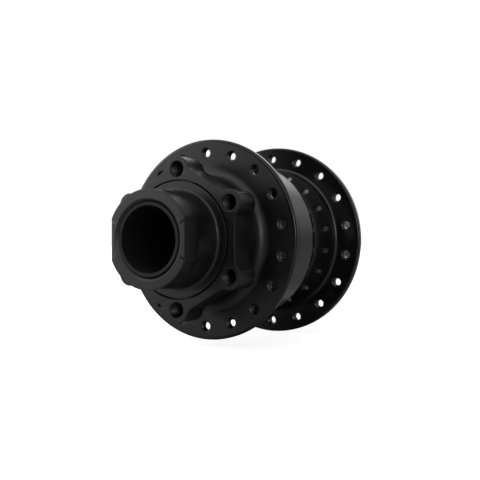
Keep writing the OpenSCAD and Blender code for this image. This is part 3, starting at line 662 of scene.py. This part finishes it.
def mount_wall(size):
    """The disc mount's side, from its rounded front edge to its rounded back edge"""
    mount_back = size.mount_y + size.mount_t
    swing = np.linspace(0, math.pi / 2, EDGE_STEPS + 1)
    insets = np.concatenate([
        FRONT_ROUND * (1 - np.sin(swing)), [0, 0], BACK_ROUND * (1 - np.cos(swing))
    ])
    places = np.concatenate([
        size.mount_y + FRONT_ROUND * (1 - np.cos(swing)),
        [size.mount_y + FRONT_ROUND + EDGE_MARGIN, mount_back - BACK_ROUND - EDGE_MARGIN],
        mount_back - BACK_ROUND * (1 - np.sin(swing)),
    ])
    wall = np.array([lifted(mount_outline(size, inset), y) for inset, y in zip(insets, places)])
    # In the hollows the wall runs on into the neck, so the back edge's rounding fades out there
    plain = mount_outline(size, 0)
    outside = np.hypot(plain[:, 0], plain[:, 1]) - size.neck_r
    stands_out = np.clip((outside - FADE_START) / FADE_WIDTH, 0, 1)[:, None]
    back_edge = wall[-len(swing):, :, ::2]
    back_edge[:] = plain + (back_edge - plain) * stands_out
    return wall


def neck(size, disc, mount_edge):
    """The mount's back face, the neck and its fillet into the disc flange. Its rings start on the
    mount's last ring of points, and their points turn evenly to the flange's angles on the way."""
    mount_back = size.mount_y + size.mount_t
    out_r = np.hypot(mount_edge[:, 0], mount_edge[:, 2])
    out_turn = np.unwrap(np.arctan2(mount_edge[:, 2], mount_edge[:, 0]))
    step_r = np.minimum(size.neck_r + NECK_STEP[0], out_r - LEAST_STEP)
    corner_r = np.minimum(size.neck_r + NECK_CORNER[0], out_r)
    step = around(step_r, mount_back + NECK_STEP[1], out_turn)
    corner = around(corner_r, mount_back + NECK_CORNER[1], out_turn)
    line = corner_profile([
        (size.neck_r, mount_back + NECK_START, 0),
        (size.neck_r, disc.front(size.neck_r), NECK_ROUNDING),
        (disc.ring_r, disc.front(disc.ring_r), 0),
    ])
    share = np.clip(np.linspace(0, EVEN_AFTER, len(line)), 0, 1)[:, None]
    turns = out_turn * (1 - share) + even_turns(ROUND) * share
    fillet = around(line[:, 0, None], line[:, 1, None], turns)
    return np.concatenate([[mount_edge, step, corner], fillet])


def barrel_profile(size, disc, drive):
    """The shell's outside between the flanges"""
    root = disc.back(size.root_r)
    return corner_profile([
        (disc.ring_r, disc.back(disc.ring_r), 0),
        (size.root_r, root, ROOT_ROUNDING),
        (size.root_r, root + ROOT_L, ROOT_END_ROUNDING),
        (size.barrel_r, BARREL_START, BARREL_ROUNDING),
        (size.barrel_r, BARREL_END, 0.3),
        (DRUM_R, DRUM_START, 0.4),
        (DRUM_END_R, drive.front(DRUM_END_R), DRUM_ROUNDING),
        (drive.ring_r, drive.front(drive.ring_r), 0),
    ])


def inside_profile(size, drive):
    """The shell's drive end and its bores, from the drive flange's back to the disc mount's mouth"""
    back = drive.back(drive.ring_r)
    return corner_profile([
        # The collar round the ratchet ring
        (drive.ring_r, back, 0),
        (26.8, back, 0.8),
        (26.8, back + 3, 0.25),
        (25.8, size.shell_end_y, 0.25),
        (23.6, size.shell_end_y, 0.25),
        # The ratchet ring's seat
        (23.6, 14.1, 0),
        (23.22, 14.1, 0),
        (23.22, 6.1, 0),
        # The drive-side bearing's seat and shoulder
        (19.8, 6.1, 0),
        (19.8, -0.5, 0),
        (SEAT_R, -0.5, 0),
        (SEAT_R, -7.7, 0),
        (17, -7.7, 0),
        # The hollow of the barrel
        (17, -9.7, 0),
        (25, -13.7, 0),
        (25, -19.1, 0),
        (19.5, -31.5, 0),
        # The disc-side bearing's shoulder, its seat and the mouth
        (17, -35.1, 0),
        (17, -43.3, 0),
        (SEAT_R, -43.3, 0),
        (SEAT_R, size.mount_y + MOUTH_R - SEAT_R, 0.08),
        (MOUTH_R, size.mount_y, 0),
    ])


class HUB_OT_shell(bpy.types.Operator):
    """Builds the hub shell: lobed mount, two drilled flanges, barrel and bores in one closed surface"""

    bl_idname = "hub.shell"
    bl_label = "Hub shell"

    def execute(self, context):
        size = context.scene.hub_sizes
        disc, drive = disc_flange(size), drive_flange(size)
        turns = even_turns(ROUND)
        wall = mount_wall(size)
        profiles = (
            disc.rim(), barrel_profile(size, disc, drive), drive.rim(), inside_profile(size, drive)
        )
        finishes = [finish_of("blasted"), finish_of("turned")]
        blasted, turned = range(len(finishes))
        parts = (
            (blasted, disc.face(disc.front)),
            (turned, disc.face(disc.back)),
            (blasted, disc.holes()),
            (turned, drive.face(drive.front)),
            (turned, drive.face(drive.back)),
            (turned, drive.holes()),
            (blasted, mount_front(size)),
            (blasted, [wall, neck(size, disc, wall[-1])]),
            (turned, [revolved(profile, turns) for profile in profiles]),
        )
        surfaces = [(points, number) for number, sheets in parts for points in sheets]
        made = piece("hub_shell_surface", surfaces, finishes, "shell")
        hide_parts("hub_shell")
        return {"FINISHED"}


class HUB_OT_disc_end_cap(bpy.types.Operator):
    """Builds the disc-side end cap: a nose with two wrench flats, a waist and the bearing's shield"""

    bl_idname = "hub.disc_end_cap"
    bl_label = "Disc-side end cap"

    def execute(self, context):
        size = context.scene.hub_sizes
        end = CAP_LOW.y / MM
        nose_end = end + size.cap_nose_l
        line = corner_profile([
            # The mouth
            (CAP_BORE_R, end + 3.9, 0),
            (CAP_BORE_R, end + CAP_CHAMFER, 0.15),
            (CAP_BORE_R + CAP_CHAMFER, end, 0.2),
            # The nose and the waist behind it
            (size.cap_r, end, 0.35),
            (size.cap_r, nose_end, 0.2),
            (13.2, nose_end, 0.9),
            (15.4, size.mount_y, 1),
            # The shield over the bearing, and its foot against the inner race
            (SHIELD_R, size.mount_y, 0.15),
            (SHIELD_R, size.mount_y + SHIELD_T, 0.1),
            (FOOT_R, size.mount_y + SHIELD_T, 0.1),
            (FOOT_R, size.mount_y + FOOT_L, 0.1),
            (CAP_BORE_R, size.mount_y + FOOT_L, 0.1),
            # The groove of the rubber ring
            (CAP_BORE_R, end + 5.7, 0.05),
            (12.3, end + 5.6, 0.05),
            (12.3, end + 4.0, 0.05),
            (CAP_BORE_R, end + 3.9, 0),
        ])
        # Extra points on both sides of each flat's edges keep them crisp
        flat_turn = math.acos(size.cap_flat / size.cap_r)
        edges = [
            middle + side + np.array(FLAT_EDGE)
            for middle in (0, math.pi) for side in (-flat_turn, flat_turn)
        ]
        turns = np.concatenate([even_turns(CAP_ROUND), np.concatenate(edges) % TURN])
        turns = np.unique(np.round(turns, 6))
        # The flats cut the nose only. Their front edge is eased over the first EASE_L of the nose.
        radius = np.repeat(line[:, 0, None], len(turns), axis=1)
        limit = size.cap_flat / np.maximum(np.abs(np.cos(turns)), LEAST_COSINE)
        easing = EASE * np.clip(1 - (line[:, 1, None] - end) / EASE_L, 0, 1)
        on_nose = line[:, 1, None] <= nose_end + FLAT_RUN_OUT
        radius = np.where(on_nose, np.minimum(radius, limit - easing), radius)
        points = around(radius, line[:, 1, None], turns)
        made = piece(
            "disc_end_cap_surface", [(points, 0)], [finish_of("blasted")], "axle"
        )
        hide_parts("disc_end_cap")
        return {"FINISHED"}


class HUB_OT_axle(bpy.types.Operator):
    """Finishes the axle tube, the drive-side end cap, the spacer and the lock nut"""

    bl_idname = "hub.axle"
    bl_label = "Axle and drive-side cap"

    def execute(self, context):
        paint("dull", "axle")
        paint("blasted", "drive_end_cap")
        paint("aluminium", "bearing_spacer", "bearing_lock_nut")
        return {"FINISHED"}


class HUB_OT_bearings(bpy.types.Operator):
    """Finishes the ball bearings and the needle bearing"""

    bl_idname = "hub.bearings"
    bl_label = "Bearings"

    def execute(self, context):
        for bearing in ("disc", "drive", "freehub"):
            paint("ground_steel", f"{bearing}_bearing_inner_race", f"{bearing}_bearing_outer_race")
            paint("ball_steel", f"{bearing}_bearing_balls")
            paint("nylon", f"{bearing}_bearing_cage")
            paint("seal", f"{bearing}_bearing_seals")
        # This race shows in the gap round the end cap's shield, where the photo is dark: its darker,
        # duller steel is painted shade there, in place of bright ground steel
        paint("hard_steel", "disc_bearing_outer_race")
        paint("ground_steel", "needle_bearing_cup", "freehub_circlip", "pawl_springs")
        paint("ball_steel", "needle_rollers")
        paint("nylon", "needle_cage")
        return {"FINISHED"}


class HUB_OT_freehub(bpy.types.Operator):
    """Finishes the freehub body, its pawls and the ratchet ring"""

    bl_idname = "hub.freehub"
    bl_label = "Freehub and ratchet"

    def execute(self, context):
        paint("hard_anodise", "freehub_body")
        paint("hard_steel", "ratchet_ring", "pawl_1", "pawl_2", "pawl_3")
        return {"FINISHED"}


class HUB_OT_seals(bpy.types.Operator):
    """Finishes the rubber seals and the rings in the end caps"""

    bl_idname = "hub.seals"
    bl_label = "Rubber seals"

    def execute(self, context):
        paint("rubber", "disc_cap_o_ring", "drive_cap_o_ring", "hub_lip_seal", "freehub_end_seal")
        return {"FINISHED"}


CAMERA_PLACE = Vector((0.12345, -0.2208, -0.00013))
CAMERA_AIM = Vector((-0.5130, 0.8584, 0))
LENS_MM, SENSOR_MM = 50, 36
CLIP_NEAR, CLIP_FAR = 0.005, 20

# Softboxes: degrees to the right of the camera as seen from the object, degrees above the floor,
# degrees from the middle to the edge, brightness
SOFTBOXES = (
    (-91, 10, 34, 2.1),
    (-95, 45, 34, 0.5),
    (-20, 48, 45, 0.9),
    (28, 10, 36, 0.75),
    (28, 12, 14, 1.8),
    (122, 12, 30, 0.22),
    (150, 36, 48, 0.45),
    (168, 26, 28, 1.0),
    (-120, 60, 30, 0.7),
)

# The floor: half its width and its gap under the hub in metres, its tone as the camera and as the object
# see it, the light that it gives to the camera, and how glossy and how rough it is to the object
FLOOR_HALF, FLOOR_GAP = 3.0, 0.0002
FLOOR_TONE, FLOOR_TONE_TO_OBJECT = 0.8, 0.5
FLOOR_GLOW = 0.86
FLOOR_GLOSS, FLOOR_ROUGHNESS = 0.4, 0.2


def seen_direction(azimuth, elevation):
    """The direction at an azimuth to the camera's right and an elevation over the floor, in degrees"""
    azimuth, elevation = math.radians(azimuth), math.radians(elevation)
    up = Vector((0, 0, 1))
    level = -CAMERA_AIM * math.cos(azimuth) + CAMERA_AIM.cross(up) * math.sin(azimuth)
    return level * math.cos(elevation) + up * math.sin(elevation)


def studio_world():
    """A white studio with softboxes round the object, each a lobe that fades to nothing at its edge.
    Camera rays see plain white."""
    world = bpy.data.worlds.new("white_studio")
    bpy.context.scene.world = world
    world.use_nodes = True
    tree = world.node_tree
    tree.nodes.clear()
    way = add_node(tree, "ShaderNodeTexCoord").outputs["Generated"]
    total = 0.0
    for azimuth, elevation, spread, strength in SOFTBOXES:
        cosine = add_node(tree, "ShaderNodeVectorMath", {"operation": "DOT_PRODUCT"}, {
            0: way, 1: seen_direction(azimuth, elevation)})
        edge = math.cos(math.radians(spread))
        lobe = add_node(tree, "ShaderNodeMapRange", {"interpolation_type": "SMOOTHSTEP"}, {
            "Value": cosine.outputs["Value"], "From Min": edge, "From Max": 1.0,
            "To Min": 0.0, "To Max": strength})
        total = add_node(tree, "ShaderNodeMath", {"operation": "ADD"}, {
            0: total, 1: lobe.outputs["Result"]}).outputs[0]
    studio = add_node(tree, "ShaderNodeBackground", inputs={"Color": (1, 1, 1, 1), "Strength": total})
    white = add_node(tree, "ShaderNodeBackground", inputs={"Color": (1, 1, 1, 1)})
    path = add_node(tree, "ShaderNodeLightPath")
    mixed = add_node(tree, "ShaderNodeMixShader", inputs={
        0: path.outputs["Is Camera Ray"], 1: studio.outputs[0], 2: white.outputs[0]})
    add_node(tree, "ShaderNodeOutputWorld", inputs={0: mixed.outputs[0]})


def floor_finish():
    """Pale acrylic studio floor. It mirrors the softboxes softly into the object from below, and camera
    rays see it matt and nearly white, with the object's faint shadow."""
    material = bpy.data.materials.new("pale_floor_acrylic")
    material.use_nodes = True
    tree = material.node_tree
    tree.nodes.clear()
    seen = add_node(tree, "ShaderNodeLightPath").outputs["Is Camera Ray"]
    tone = add_node(tree, "ShaderNodeMapRange", inputs={
        "Value": seen, "To Min": FLOOR_TONE_TO_OBJECT, "To Max": FLOOR_TONE}).outputs["Result"]
    matt = add_node(tree, "ShaderNodeBsdfDiffuse", inputs={"Color": tone})
    gloss = add_node(tree, "ShaderNodeBsdfGlossy", inputs={"Color": tone, "Roughness": FLOOR_ROUGHNESS})
    glow = add_node(tree, "ShaderNodeMath", {"operation": "MULTIPLY"}, {0: seen, 1: FLOOR_GLOW})
    share = add_node(tree, "ShaderNodeMapRange", inputs={
        "Value": seen, "To Min": FLOOR_GLOSS, "To Max": 0.0})
    sheet = add_node(tree, "ShaderNodeMixShader", inputs={
        0: share.outputs["Result"], 1: matt.outputs[0], 2: gloss.outputs[0]})
    white = add_node(tree, "ShaderNodeEmission", inputs={"Strength": glow.outputs[0]})
    both = add_node(tree, "ShaderNodeAddShader", inputs={0: sheet.outputs[0], 1: white.outputs[0]})
    add_node(tree, "ShaderNodeOutputMaterial", inputs={0: both.outputs[0]})
    return material


class HUB_OT_stage(bpy.types.Operator):
    """Builds the floor, the white surroundings with their softboxes, and the camera"""

    bl_idname = "hub.stage"
    bl_label = "Studio"

    def execute(self, context):
        scene = context.scene
        scene.view_settings.view_transform = "Standard"
        studio_world()
        half, low = FLOOR_HALF, CAD_BOX[0][2] - FLOOR_GAP
        mesh = bpy.data.meshes.new("studio_floor")
        corners = [(-half, -half, low), (half, -half, low), (half, half, low), (-half, half, low)]
        mesh.from_pydata(corners, [], [(0, 1, 2, 3)])
        mesh.materials.append(floor_finish())
        floor = bpy.data.objects.new("studio_floor", mesh)
        scene.collection.objects.link(floor)
        data = bpy.data.cameras.new("photo_camera")
        data.lens, data.sensor_width = LENS_MM, SENSOR_MM
        data.clip_start, data.clip_end = CLIP_NEAR, CLIP_FAR
        camera = bpy.data.objects.new("photo_camera", data)
        scene.collection.objects.link(camera)
        camera.location = CAMERA_PLACE
        camera.rotation_euler = CAMERA_AIM.to_track_quat("-Z", "Y").to_euler()
        scene.camera = camera
        return {"FINISHED"}


class HUB_PT_panel(bpy.types.Panel):
    """Lists the hub's sizes, colours and pieces"""

    bl_idname = "HUB_PT_panel"
    bl_label = "Rear hub"
    bl_space_type = "VIEW_3D"
    bl_region_type = "UI"
    bl_category = "Rear hub"

    def draw(self, context):
        for operator in OPERATORS:
            self.layout.operator(operator.bl_idname)
        for group in (context.scene.hub_sizes, context.scene.hub_colours):
            for name in group.bl_rna.properties.keys():
                if name not in {"rna_type", "name"}:
                    self.layout.prop(group, name)


OPERATORS = (
    HUB_OT_stage, HUB_OT_shell, HUB_OT_disc_end_cap, HUB_OT_axle,
    HUB_OT_bearings, HUB_OT_freehub, HUB_OT_seals,
)
CLASSES = (HubSizes, HubColours, *OPERATORS, HUB_PT_panel)


def register():
    for item in CLASSES:
        bpy.utils.register_class(item)
    bpy.types.Scene.hub_sizes = bpy.props.PointerProperty(type=HubSizes)
    bpy.types.Scene.hub_colours = bpy.props.PointerProperty(type=HubColours)


def unregister():
    del bpy.types.Scene.hub_colours
    del bpy.types.Scene.hub_sizes
    for item in reversed(CLASSES):
        bpy.utils.unregister_class(item)


def main():
    register()
    bpy.ops.hub.stage()
    bpy.ops.hub.shell()
    bpy.ops.hub.disc_end_cap()
    bpy.ops.hub.axle()
    bpy.ops.hub.bearings()
    bpy.ops.hub.freehub()
    bpy.ops.hub.seals()


if __name__ == "__main__":
    main()
